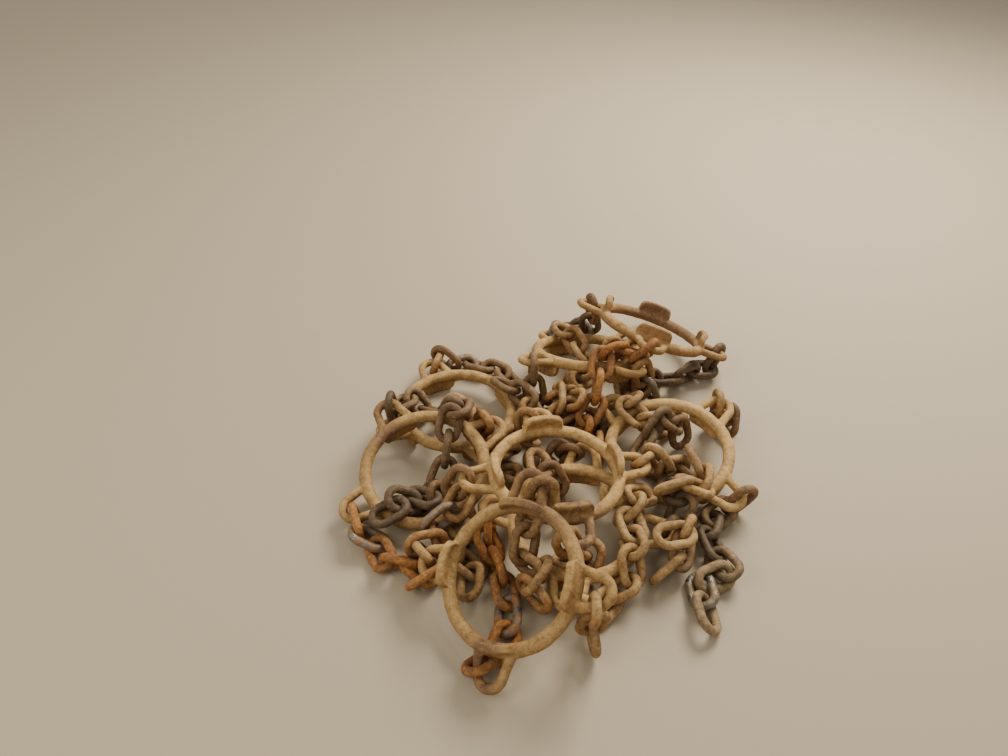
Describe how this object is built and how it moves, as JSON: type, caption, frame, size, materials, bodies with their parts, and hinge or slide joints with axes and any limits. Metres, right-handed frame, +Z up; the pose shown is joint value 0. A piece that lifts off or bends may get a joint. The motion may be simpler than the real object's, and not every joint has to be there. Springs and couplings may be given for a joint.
{
  "type": "heap of ring chain",
  "caption": "Heap of rusty steel chain mat: forged rings with lugs and pads, tied by short runs of welded links, lying on a floor.",
  "frame": {"origin": "middle of the heap's bounding box, on the floor that it lies on", "axes": "+Z is up, +Y points away from the picture's camera along the floor and is the heap's longest extent, +X is to the picture's right"},
  "size_m": [0.9811, 1.193, 0.2532],
  "materials": {
    "ring_rust": "forged steel under dusty tan rust",
    "dusty_rust": "welded steel links under dusty brown rust, worn bright where they bear",
    "orange_rust": "welded steel links under fresh orange rust",
    "dark_rust": "welded steel links under dark brown-grey rust"
  },
  "bodies": {
    "root": {"ring_front": "ring_rust", "ring_middle": "ring_rust", "ring_right": "ring_rust", "ring_left": "ring_rust", "ring_left_back": "ring_rust", "ring_back": "ring_rust", "ring_far_back": "ring_rust", "ring_under": "ring_rust", "chain_left_inner": "dusty_rust", "chain_back_left": "dusty_rust", "chain_left_to_middle": "dusty_rust", "chain_in_left_back_ring": "dusty_rust", "chain_back_to_middle": "dusty_rust", "chain_in_back_ring": "dusty_rust", "chain_back_to_right": "dusty_rust", "chain_right_corner": "dusty_rust", "chain_in_right_ring": "dusty_rust", "chain_middle_to_right": "dusty_rust", "chain_right_of_middle": "dusty_rust", "chain_front_right_lug": "dusty_rust", "chain_front_ring_left": "dusty_rust", "chain_in_middle_ring": "dusty_rust", "chain_middle_front_lug": "dusty_rust", "chain_across_back_ring": "dusty_rust", "chain_right_upper": "dusty_rust", "chain_right_lower": "dusty_rust", "chain_between_back_rings": "dusty_rust", "chain_hanging_in_middle": "dusty_rust", "chain_before_back_ring": "dusty_rust", "chain_in_front_ring": "dusty_rust", "chain_left_outer": "orange_rust", "chain_front_lug": "orange_rust", "chain_over_back_ring": "orange_rust", "chain_right_front_outer": "dark_rust", "chain_over_left_ring": "dark_rust", "chain_right_back": "dark_rust", "chain_far_back": "dark_rust", "chain_right_front_inner": "dark_rust", "chain_into_right_ring": "dark_rust", "chain_across_left_ring": "dark_rust"}
  },
  "joints": []
}
